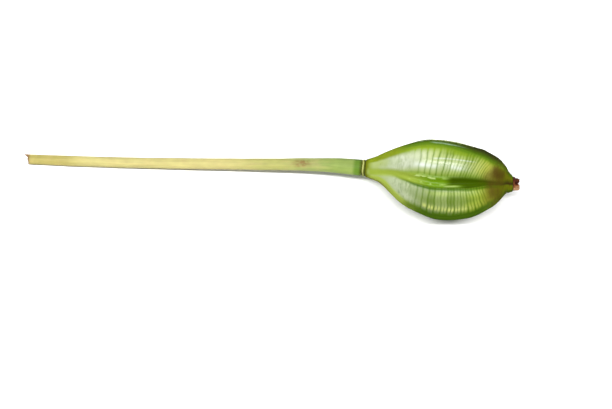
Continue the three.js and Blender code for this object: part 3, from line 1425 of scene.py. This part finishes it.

    # Painted highlights: where the broad sheen and the thin bright thread lie on the upper panel.
    drop_start: Rise = Rise(25.0, 31.0)
    sheen_drop: float = 3.2
    sheen_fade: Rise = Rise(23.0, 26.5)
    sheen_cover: Cover = Cover(
        sheen_row=Bell(25.6, 3.4), along=Between(14.0, 17.5, 31.0, 34.5), faded=Blend(1.0, 0.6),
        seed=Blend(1.4, 0.4),
    )
    thread_drop: float = 1.2
    thread_cover: Cover = Cover(
        0.7, thread_row=Bell(35.4, 1.0), along=Between(20.0, 22.5, 32.0, 36.0)
    )
    dab_drop_start: Rise = Rise(24.0, 32.0)
    dab_drop: float = -2.0
    dab_halving: Rise = Rise(20.0, 23.0)
    dab_cover: Cover = Cover(
        dab_row=Bell(43.3, 4.2), along=Between(18.8, 21.0, 31.0, 37.0), halves=Rise(1.0, 0.45),
        pale_side=INVERSE,
    )
    # Painted highlights: rows of glints along the seam, and one along its lower lip.
    glow_places: Blend = Blend(3.8, 6.5)
    glow_widths: Blend = Blend(1.3, 1.9)
    glow_cover: Cover = Cover(
        0.9, glow_row=Bell(0.0, 1.0), wave=Rise(0.5, 0.62), along=Between(14.0, 17.0, 22.5, 28.0)
    )
    lip_glint_cover: Cover = Cover(
        0.5, around=Bell(7.0, 1.5), along=Between(25.0, 27.0, 28.5, 31.5), pale_side=INVERSE
    )

    line_sharpness: float = 4.5
    late_blur: float = 0.9
    near_blur: float = 1.2
    far_blur: float = 1.5
    early_blur: float = 1.8
    middle_sharpness: float = 1.0
    middle_share: float = 0.8
    middle_late: Blend = Blend(0.4, 1.0)
    line_strength: Blend = Blend(0.65, 0.95)
    low_line_strength: float = 0.05

    roughness: Blend = Blend(0.4, 0.5)
    dry_roughness: float = 0.2
    dry_start: Rise = Rise(40.0, 44.0)
    relief: float = 0.05
    gap_falloff: float = 4.0
    panel_coat: Cover = Cover(
        panel=AS_IS, in_gap=Blend(0.38, 0.07), pale_side=Blend(0.3, 1.0), around=Rise(9.0, 18.0)
    )
    seam_coat: Cover = Cover(0.14, seam=AS_IS, along=Rise(28.0, 23.0))
    least_coat: float = 0.02

    def material(self, effects: SharedEffects) -> bpy.types.Material:
        """Build the material.

        Args:
            effects: The shared effects.

        Returns:
            The material.
        """
        tree = FinishTree(
            "capsule_skin", IOR=1.45, Specular_IOR_Level=0.0, Coat_Roughness=0.27, Coat_IOR=1.6
        )
        skin = self._read(tree, effects)
        self._mix(skin)
        colour = self.corner_coats.of(skin).toward(self.panel_coats.of(skin), skin.panel)
        colour = colour.toward(self.seam_coats.of(skin), skin.seam)
        colour = self._stained_and_shaded(skin, self.crease_shade_layer.over(colour, skin))
        dry = self.dry_start.of(skin.along)
        roughness = self.roughness.of(skin.grain) + dry * self.dry_roughness
        tree.finish(colour, roughness, skin.grain, self.relief)
        coat = (self.panel_coat.of(skin) + self.seam_coat.of(skin)) * (1.0 - dry)
        tree.feed(tree.skin.inputs["Coat Weight"], coat + self.least_coat)
        return tree.material

    def _read(self, tree: FinishTree, effects: SharedEffects) -> SimpleNamespace:
        """Read the values that the skin stores, and lay patterns over its places.

        Args:
            tree: The material under construction.
            effects: The shared effects.

        Returns:
            The values and patterns by their names.
        """
        traits = (Trait.ALONG, Trait.AROUND, Trait.FLANK, Trait.PANEL)
        traits += (Trait.SEAM, Trait.CREASE, Trait.PALE_SIDE)
        skin = SimpleNamespace(**{trait.value: tree.read(trait) for trait in traits})
        place = tree.read_place()
        skin.place = place
        skin.streak = tree.effect(effects.fibres, Place=place, Fineness=1.1, Stretch=0.12)
        skin.speck = tree.effect(
            effects.freckles, Place=place, Fineness=1.6, Threshold=0.66, Softness=0.06
        )
        skin.grain = tree.effect(effects.grain, Place=place, Fineness=2.4, Stretch=0.8)
        skin.cloud = place.noise(self.cloud)
        skin.mottle = place.noise(self.mottle)
        skin.wave = place.noise(self.wave)
        count = tree.read(Trait.COUNT) + place.noise(self.unevenness).swing() * self.count_shift
        skin.gap = abs(count.fraction().swing())
        skin.seed = tree.seed_lot(count, tree.read(Trait.STACK))
        return skin

    def _mix(self, skin: SimpleNamespace) -> None:
        """Add the values that are mixed from several others.

        Args:
            skin: What was read from the skin.
        """
        along, around, upper = skin.along, skin.around, skin.pale_side
        skin.ripening = along + skin.cloud.swing() * self.ripening_shift
        skin.strands = (skin.streak - self.strand_start).most(0.0)
        skin.steep = abs(skin.flank)
        skin.tilt = skin.flank + self.tilt_start.of(along) * self.tilt
        skin.clear = (along - self.clear_places.of(upper)).bell(self.clear_width)
        skin.near = self.near.of(around)
        skin.far = self.far.of(around) * upper
        skin.late = self.late.of(along)
        drop = self.drop_start.of(along)
        skin.faded = self.sheen_fade.of(along)
        skin.sheen_row = around + drop * self.sheen_drop
        skin.thread_row = around + drop * self.thread_drop
        skin.sheen = self.sheen_cover.of(skin).most(self.thread_cover.of(skin))
        skin.dab_row = around + self.dab_drop_start.of(along) * self.dab_drop
        skin.halves = self.dab_halving.of(along).to(skin.gap, abs(skin.gap.swing()))
        skin.dabs = self.dab_cover.of(skin)
        skin.glow_row = (around - self.glow_places.of(upper)) / self.glow_widths.of(upper)
        skin.glow = self.glow_cover.of(skin).most(self.lip_glint_cover.of(skin))
        skin.in_gap = skin.gap ** self.gap_falloff
        skin.line = self._line(skin)

    def _line(self, skin: SimpleNamespace) -> Field:
        """Dark lines between the seeds, and finer ones through their middles.

        Args:
            skin: What was read from the skin.

        Returns:
            How dark each point is.
        """
        late, lower = skin.late, 1.0 - skin.pale_side
        blur = late * self.late_blur + skin.near * self.near_blur + skin.far * self.far_blur
        blur = blur + lower * (1.0 - late) * self.early_blur
        sharpness = self.line_sharpness - blur
        paired = (late * skin.pale_side).most(lower * self.middle_late.of(late))
        middle = (1.0 - skin.gap) ** (sharpness + self.middle_sharpness) * self.middle_share
        line = (skin.gap ** sharpness).most(middle * paired * (1.0 - skin.dabs))
        return line * (self.line_strength.of(skin.seed) + lower * self.low_line_strength)

    def _stained_and_shaded(self, skin: SimpleNamespace, colour: Paint) -> Paint:
        """Add brown stains and specks, and painted shade beside the seam near the beak.

        Args:
            skin: What was read from the skin.
            colour: The colour so far.

        Returns:
            The stained colour.
        """
        for spot in self.spots:
            drift = skin.cloud.swing() * (spot.reach * self.spot_drift)
            cover = (skin.place.distance(spot.centre()) + drift).bell(spot.reach)
            colour = colour.toward(self.stain, cover * spot.strength)
        return colour.toward(self.stain, self.speck_cover.of(skin).most(self.wither_cover.of(skin)))


@dataclass
class Capsule:
    """Three-angled fruit, with a seam down each face and seeds barring its panels."""

    line: CentreLine = CAPSULE_LINE
    start: float = RING_HALF_LENGTH + JOINT_GAP
    end: float = CAPSULE_END
    triangle: float = 0.12
    slouch: float = 0.03
    slim_radius: float = 5.88
    panel_bulge: float = 0.03
    seam_depth: float = 0.12
    seam_width: float = 0.6
    seam_drift: float = 12.0
    drift_fade: Rise = Rise(50.0, 20.0)
    band_edge: float = 0.35
    band_blur: float = 0.6
    band_blur_fade: Rise = Rise(17.0, 8.0)
    band_start: Rise = Rise(0.8, 2.0)
    lip_height: float = 0.26
    lip_share: float = 0.7
    lip_width: float = 0.55
    lip_bumps: float = 0.7
    bump_noise: Noise = Noise(0.9)
    bump_face_step: float = 9.0
    bump_turn_step: float = 0.12
    crease_depth: float = 0.1
    crease_gap: float = 0.5
    crease_gap_start: Rise = Rise(13.0, 19.0)
    crease_width: float = 0.48
    upper_crease: float = 0.2
    panel_edge: float = 5.5
    panel_start: Rise = Rise(1.0, 3.5)
    edge_teeth: float = 4.0
    tooth_start: float = 0.4
    tooth_middle: float = 0.5
    corner_step: float = 0.2
    corner_step_start: Rise = Rise(6.0, 14.0)
    suture_depth: float = 0.1
    suture_width: float = 2.5
    relief_span: Between = Between(9.0, 18.0, 39.0, 46.0)
    stack_start: float = 12.0
    stack_end: float = 40.5
    stack_opening: float = 6.0
    stack_closing: float = 1.5
    stack_tail: float = 0.5
    stack_shift: float = 1.5
    seeds: float = 16.0
    last_seed_share: float = 0.8
    bar_height: float = 0.05
    bar_heights: Blend = Blend(0.6, 1.2)
    bar_flatness: float = 6.0
    bar_clearance: float = 1.2
    bar_lean: float = 3.05
    upper_lean: float = 2.15
    lean_end: float = 36.0
    bar_wander: float = 0.5
    wander_noise: Noise = Noise(0.16)
    bead_height: float = 0.06
    bead_place: float = 41.0
    bead_width: float = 3.0
    lump_height: float = 0.07
    lump_noise: Noise = Noise(0.13)
    lump_start: Rise = Rise(0.0, 6.0)
    wrinkle_height: float = 0.03
    wrinkle_noise: Noise = Noise(0.9, stretch=(0.12, 1.0, 1.0))
    cap_share: float = 0.01
    radii: tuple[Pair, ...] = (
        (0.0, 2.6), (4.0, 3.92), (7.0, 5.42), (10.5, 7.5), (13.5, 9.1), (17.0, 10.48),
        (21.0, 11.4), (25.0, 11.82), (33.5, 10.76), (41.0, 7.75), (43.3, 6.15), (45.3, 4.2),
        (46.5, 3.05), (CAPSULE_END, 2.4),
    )
    sways: tuple[Pair, ...] = (
        (0.0, 0.0), (4.0, 0.48), (7.0, 0.88), (10.0, 0.8), (14.0, 0.66), (18.0, 0.68),
        (22.0, 0.36), (28.0, 0.08), (34.0, 0.16), (38.0, 0.6), (41.0, 0.8), (43.3, 1.1),
        (44.8, 1.22), (46.2, 0.6), (CAPSULE_END, 0.0),
    )
    band_widths: tuple[Pair, ...] = (
        (0.0, 1.1), (5.0, 0.85), (9.0, 0.9), (13.0, 1.35), (20.0, 1.75), (31.0, 1.8), (36.0, 1.4),
        (40.0, 0.85), (CAPSULE_END, 0.45),
    )
    upper_ends: tuple[Pair, ...] = (
        (0.0, 42.0), (5.0, 38.0), (8.7, 41.5), (11.5, 43.5), (14.0, 44.3), (20.0, 44.3),
        (25.0, 44.5), (31.0, 42.5), (36.0, 38.5), (40.0, 31.5), (44.0, 30.0), (CAPSULE_END, 30.0),
    )
    lower_ends: tuple[Pair, ...] = (
        (0.0, 36.0), (4.0, 32.0), (6.5, 32.0), (8.6, 36.0), (11.0, 42.5), (14.0, 46.0),
        (18.0, 48.2), (25.0, 49.5), (34.0, 49.5), (40.0, 46.0), (CAPSULE_END, 46.0),
    )
    seam_turns: tuple[Pair, ...] = (
        (0.0, 14.0), (5.0, 13.0), (22.7, 8.4), (32.0, 4.0), (38.0, 0.5), (CAPSULE_END, 0.0),
    )
    seam_places: tuple[Pair, ...] = (
        (0.0, 2.3), (2.6, 2.3), (3.9, 2.12), (5.2, 1.98), (6.8, 1.65), (8.5, 1.27), (10.1, 1.07),
        (11.7, 1.08), (13.3, 1.08), (14.9, 1.12), (17.5, 1.2), (21.0, 1.24), (25.0, 1.1),
        (30.0, 1.0), (34.0, 1.12), (38.0, 1.36), (41.0, 1.6), (43.3, 2.0), (44.8, 2.3),
        (46.2, 1.9), (CAPSULE_END, 1.0),
    )
    rows: int = 270
    columns: int = 360

    def _lean(self, size: SimpleNamespace, level: Field, signed: Field) -> Field:
        """How far a point is pushed along, so that the bars slant back from the seam.

        Args:
            size: The capsule's sizes.
            level: Distance along the capsule before the push.
            signed: Angle from the middle of the face.

        Returns:
            The push.
        """
        stack = level.rise(size.stack_start, size.stack_end)
        lean = size.bar_lean + signed.negative() * size.upper_lean
        trail = (abs(signed) * CORNER_WAVE).sine() ** 2.0 * stack * stack
        return lean * trail * (1.0 - level.rise(size.lean_end, size.end))

    def _girth(self, size: SimpleNamespace, along: Field, signed: Field) -> Field:
        """Radius of the three-angled body without its fine relief.

        Args:
            size: The capsule's sizes.
            along: Distance along the capsule.
            signed: Angle from the middle of the face.

        Returns:
            The radius.
        """
        mean = along.curve(self.radii)
        angular = (mean / size.slim_radius).least(1.0)
        wave = abs(signed) * FACES
        lobes = wave.sine() ** 2.0 * size.panel_bulge - wave.cosine() * size.triangle
        lobes = lobes - (signed * FACES).sine() * size.slouch
        return mean * (1.0 + lobes * angular)

    def _seed_count(self, size: SimpleNamespace, along: Field) -> Field:
        """Count the seeds passed on the way along a stack, each thinner than the last.

        Args:
            size: The capsule's sizes.
            along: Distance along the capsule.

        Returns:
            The count, with the share of the seed that is reached.
        """
        shrink = (1.0 - size.last_seed_share) / (size.seeds - 1.0)
        filled = size.seeds - shrink * size.seeds * (size.seeds - 1.0) * 0.5
        first = (size.stack_end - size.stack_start) / filled
        inside = (along - size.stack_start).most(0.0).least(size.stack_end - size.stack_start)
        half = shrink * 0.5
        linear = 1.0 + half
        under = (linear * linear - half * 4.0 * inside / first).most(0.0)
        return (linear - under.root()) / (half * 2.0)

    def build(self, finish: bpy.types.Material) -> bpy.types.Object:
        """Grow the capsule.

        Args:
            finish: Its material.

        Returns:
            The piece.
        """
        tree = ShapeTree("capsule_shape")
        size = tree.take_sizes(self)
        share, turn = tree.sheet(self.rows, self.columns)
        body, ends = tree.capped(share, size.cap_share)
        face = nearest_face(turn)
        signed = turn - face * FACE_TURN
        angle = abs(signed)
        level = body.to(size.start, size.end)
        along = level + self._lean(size, level, signed)
        plump = self._girth(size, along, signed)
        straight = tree.arrow(along, plump * turn.cosine(), plump * turn.sine())
        drift = (along.curve(self.seam_places) - 1.0) * size.seam_drift
        from_seam = signed - drift * self.drift_fade.of(angle)
        reach = abs(from_seam) * plump * DEGREE
        upper = from_seam.negative()
        stack = face * STACKS + upper

        wander = tree.rough(straight, self.wander_noise) * size.bar_wander
        shift = tree.lot(stack * SIDE_STEP).swing() * size.stack_shift
        count = self._seed_count(size, level + wander + shift)
        bar = 1.0 - abs(count.fraction().swing()) ** size.bar_flatness
        seed = tree.seed_lot(count, stack)
        begun = along.rise(size.stack_start, size.stack_start + size.stack_opening)
        done = along.rise(size.stack_end - size.stack_closing, size.stack_end + size.stack_tail)
        within = begun * (1.0 - done)

        width = along.curve(self.band_widths)
        blur = upper.most(self.band_blur_fade.of(along)) * size.band_blur
        edge = size.band_edge + blur
        band = 1.0 - reach.rise(width - edge, width + edge)
        teeth = (bar * (size.tooth_start + seed) - size.tooth_middle) * size.edge_teeth * within
        outer = upper.to(along.curve(self.lower_ends), along.curve(self.upper_ends)) + teeth
        past_panel = angle.rise(outer - size.panel_edge, outer + size.panel_edge)
        panel = (1.0 - band) * (1.0 - past_panel)

        bumpy = tree.arrow(along, face * size.bump_face_step, signed * size.bump_turn_step)
        bumps = 1.0 + tree.rough(bumpy, self.bump_noise) * size.lip_bumps
        lips = (reach - width * size.lip_share).bell(size.lip_width) * size.lip_height * bumps
        beside = width + size.crease_gap * self.crease_gap_start.of(along)
        crease = (reach - beside).bell(size.crease_width) * upper.to(1.0, size.upper_crease)
        seam = lips - reach.bell(size.seam_width) * size.seam_depth - crease * size.crease_depth
        suture = (CORNER - angle).bell(size.suture_width) * size.suture_depth
        step = past_panel * size.corner_step * self.corner_step_start.of(along)
        beads = (angle - size.bead_place).bell(size.bead_width) * size.bead_height
        clear = (reach - width).rise(size.crease_gap, size.crease_gap + size.bar_clearance)
        heights = panel * size.bar_height * self.bar_heights.of(seed)
        bars = bar * within * clear * (heights + beads)
        lumps = tree.rough(straight, self.lump_noise) * size.lump_height
        wrinkles = tree.rough(straight, self.wrinkle_noise) * size.wrinkle_height
        grown = self.relief_span.of(along)
        relief = (seam - suture) * grown + step + bars
        relief = relief + lumps * self.lump_start.of(along) + wrinkles
        radius = (plump + relief) * ends

        tree.store(Trait.PLACE, straight)
        tree.store(Trait.ALONG, along)
        tree.store(Trait.AROUND, abs(from_seam))
        tree.store(Trait.PANEL, panel * self.panel_start.of(along))
        tree.store(Trait.SEAM, band * self.band_start.of(along))
        tree.store(Trait.CREASE, crease * grown)
        tree.store(Trait.PALE_SIDE, upper)
        tree.store(Trait.COUNT, count)
        tree.store(Trait.STACK, stack)
        rolled = turn + along.curve(self.seam_turns)
        tree.store(Trait.FLANK, rolled.sine() * -1.0)
        frame = tree.follow(self.line, along)
        sway = frame.side * along.curve(self.sways)
        tree.place(frame.point + sway + tree.outward(frame, radius, rolled))
        return tree.grow("seed_capsule", finish)


@dataclass(frozen=True)
class StigmaFinish:
    """Brown, dry, withered tissue."""

    dark: Colour = tint(68, 28, 14)
    rust: Colour = tint(142, 84, 42)
    pale: Colour = tint(216, 168, 122)
    ground: Stops = ((0.0, dark), (0.35, dark), (0.7, rust), (1.0, pale))
    coats: Coats = Coats(Ramp("raised", ground), Layer(dark, withered=AS_IS))
    stain_cover: Cover = Cover(0.4, stain=AS_IS)
    streak_cover: Cover = Cover(0.5, streak=INVERSE)
    roughness: Blend = Blend(0.6, 0.8)
    relief: float = 0.12

    def material(self, effects: SharedEffects) -> bpy.types.Material:
        """Build the material.

        Args:
            effects: The shared effects.

        Returns:
            The material.
        """
        tree = FinishTree("withered_stigma_skin", **DULL_SKIN)
        place = tree.read_place()
        grain = tree.effect(effects.grain, Place=place, Fineness=5.0, Stretch=1.0)
        skin = SimpleNamespace(raised=tree.read(Trait.RAISED))
        skin.stain = tree.effect(
            effects.freckles, Place=place, Fineness=0.8, Threshold=0.5, Softness=0.12
        )
        skin.streak = tree.effect(effects.fibres, Place=place, Fineness=1.6, Stretch=0.25)
        skin.withered = self.stain_cover.of(skin).most(self.streak_cover.of(skin))
        tree.finish(self.coats.of(skin), self.roughness.of(grain), grain, self.relief)
        return tree.material


@dataclass
class Stigma:
    """Three withered lobes that curl outwards from the end of the beak."""

    line: CentreLine = CAPSULE_LINE
    base: float = CAPSULE_END + JOINT_GAP
    free_start: Rise = Rise(0.18, 0.5)
    cleft_depth: float = 0.5
    cleft_drop: float = 0.4
    cleft_width: float = 19.0
    fold_depth: float = 0.14
    fold_width: float = 9.0
    crumple: float = 0.5
    crumple_noise: Noise = Noise(0.7, roughness=0.6)
    fray: float = 0.26
    fray_noise: Noise = Noise(2.4)
    loose_radius: float = 0.8
    top_taper: float = 0.14
    pale_base: float = 0.6
    pale_crumple: float = 0.9
    pale_height: float = 0.12
    pale_side: float = 0.46
    heights: tuple[Pair, ...] = (
        (0.0, 0.0), (0.15, 0.0), (0.35, 0.6), (0.55, 1.4), (0.7, 2.0), (0.82, 2.15), (0.92, 1.6),
        (1.0, 1.1),
    )
    radii: tuple[Pair, ...] = (
        (0.0, 0.0), (0.15, 2.3), (0.35, 2.2), (0.55, 2.15), (0.7, 2.0), (0.82, 1.6), (0.92, 0.9),
        (1.0, 0.0),
    )
    rows: int = 96
    columns: int = 180

    def build(self, finish: bpy.types.Material) -> bpy.types.Object:
        """Grow the stigma.

        Args:
            finish: Its material.

        Returns:
            The piece.
        """
        tree = ShapeTree("stigma_shape")
        size = tree.take_sizes(self)
        share, turn = tree.sheet(self.rows, self.columns)
        angle = abs(turn - nearest_face(turn) * FACE_TURN)
        height = share.curve(self.heights)
        mean = share.curve(self.radii)
        free = self.free_start.of(share)
        straight = tree.arrow(height, mean * turn.cosine(), mean * turn.sine())
        cleft = (CORNER - angle).bell(size.cleft_width) * free
        folded = angle.bell(size.fold_width) * free * size.fold_depth
        crumple = tree.rough(straight, self.crumple_noise) * size.crumple
        fray = tree.rough(straight, self.fray_noise) * size.fray
        loose = (crumple + fray) * free * mean.rise(0.0, size.loose_radius)
        rolled = turn + CORNER
        slimmed = (rolled.sine() * -1.0).most(0.0) * height * size.top_taper
        radius = mean * (1.0 - cleft * size.cleft_depth - folded - slimmed) + loose
        lifted = height * (1.0 - cleft * size.cleft_drop - folded) + loose

        tree.store(Trait.PLACE, straight)
        paler = size.pale_base + crumple * size.pale_crumple + height * size.pale_height
        tree.store(Trait.RAISED, (1.0 - cleft) * (paler + rolled.sine() * size.pale_side))
        frame = tree.follow(self.line, size.base)
        out = tree.outward(frame, radius.most(0.0), rolled)
        tree.place(frame.point + frame.along * lifted.most(0.0) + out)
        return tree.grow("withered_stigma", finish)


@dataclass
class Studio:
    """White surface, soft lights and a camera straight above."""

    floor_reach: float = 0.34
    floor_corners: int = 96
    floor_grey: float = 0.92
    floor_roughness: float = 0.9
    floor_gloss: float = 0.1
    camera_spot: Point = (-42.84, -9.19, 474.8)
    lens: float = 85.0
    sensor: float = 36.0
    key_spot: Point = (-70.0, 128.0, 1200.0)
    key_size: Pair = (1.5, 0.05)
    key_power: float = 25.6
    sky_size: Pair = (0.9, 0.7)
    sky_power: float = 2.2
    softbox_spot: Point = (-60.0, 450.0, 400.0)
    softbox_size: Pair = (0.7, 0.3)
    softbox_power: float = 0.8
    world_glow: float = 0.06

    def build(self) -> None:
        """Set up surface, lights, world and camera."""
        bpy.context.scene.view_settings.view_transform = "Standard"
        self._floor()
        self._light("key", self.key_spot, self.key_size, self.key_power)
        self._light("sky", self.key_spot, self.sky_size, self.sky_power)
        self._light("softbox", self.softbox_spot, self.softbox_size, self.softbox_power)
        self._world()
        self._camera()

    def _floor(self) -> None:
        """Lay the white surface."""
        mesh = bpy.data.meshes.new("floor")
        reach = self.floor_reach
        turns = [math.tau * corner / self.floor_corners for corner in range(self.floor_corners)]
        corners = [(reach * math.cos(turn), reach * math.sin(turn), 0.0) for turn in turns]
        mesh.from_pydata(corners, [], [tuple(range(self.floor_corners))])
        floor = bpy.data.objects.new("floor", mesh)
        bpy.context.scene.collection.objects.link(floor)
        paper = bpy.data.materials.new("white_paper")
        paper.use_nodes = True
        skin = paper.node_tree.nodes["Principled BSDF"]
        grey = self.floor_grey
        skin.inputs["Base Color"].default_value = (grey, grey, grey, 1.0)
        skin.inputs["Roughness"].default_value = self.floor_roughness
        skin.inputs["Specular IOR Level"].default_value = self.floor_gloss
        mesh.materials.append(paper)

    def _light(self, name: str, spot: Point, size: Pair, power: float) -> None:
        """Hang a soft light that points at the capsule.

        Args:
            name: The light's name.
            spot: Where it hangs, in millimetres.
            size: Its width along X and across, in metres.
            power: Its power in watts.
        """
        lamp = bpy.data.lights.new(name, "AREA")
        lamp.shape = "ELLIPSE"
        lamp.size, lamp.size_y = size
        lamp.energy = power
        light = bpy.data.objects.new(name, lamp)
        light.location = Vector(spot) * METRES
        back = Vector(spot).normalized()
        width = Vector((0.0, 1.0, 0.0)).cross(back).normalized()
        light.rotation_euler = Matrix((width, back.cross(width), back)).transposed().to_euler()
        bpy.context.scene.collection.objects.link(light)

    def _world(self) -> None:
        """White backdrop that adds only a little light of its own."""
        world = bpy.data.worlds.new("studio")
        world.use_nodes = True
        bench = Bench(world.node_tree)
        backdrop = world.node_tree.nodes["Background"]
        backdrop.inputs["Color"].default_value = (1.0, 1.0, 1.0, 1.0)
        seen = Field(bench.add("ShaderNodeLightPath").outputs["Is Camera Ray"])
        bench.feed(backdrop.inputs["Strength"], seen.most(self.world_glow))
        bpy.context.scene.world = world

    def _camera(self) -> None:
        """Look straight down, with +Y up in the picture."""
        lens = bpy.data.cameras.new("camera")
        lens.lens = self.lens
        lens.sensor_width = self.sensor
        camera = bpy.data.objects.new("camera", lens)
        camera.location = Vector(self.camera_spot) * METRES
        bpy.context.scene.collection.objects.link(camera)
        bpy.context.scene.camera = camera


def settle(piece: bpy.types.Object, node: str) -> None:
    """Let a piece stand for its solid.

    Args:
        piece: The finished piece.
        node: The solid that it replaces.
    """
    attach(piece, "root")
    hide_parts(node)
    LOG.info("%s: %d faces for %s", piece.name, len(piece.data.polygons), node)


def main() -> None:
    """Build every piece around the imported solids."""
    logging.basicConfig(level=logging.INFO, format="%(name)s %(message)s")
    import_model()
    Studio().build()
    effects = SharedEffects.build()
    settle(Stem().build(StemFinish().material(effects)), "stem")
    settle(ScarRing().build(RingFinish().material(effects)), "scar_ring")
    settle(Capsule().build(CapsuleFinish().material(effects)), "capsule")
    settle(Stigma().build(StigmaFinish().material(effects)), "stigma")


if __name__ == "__main__":
    main()
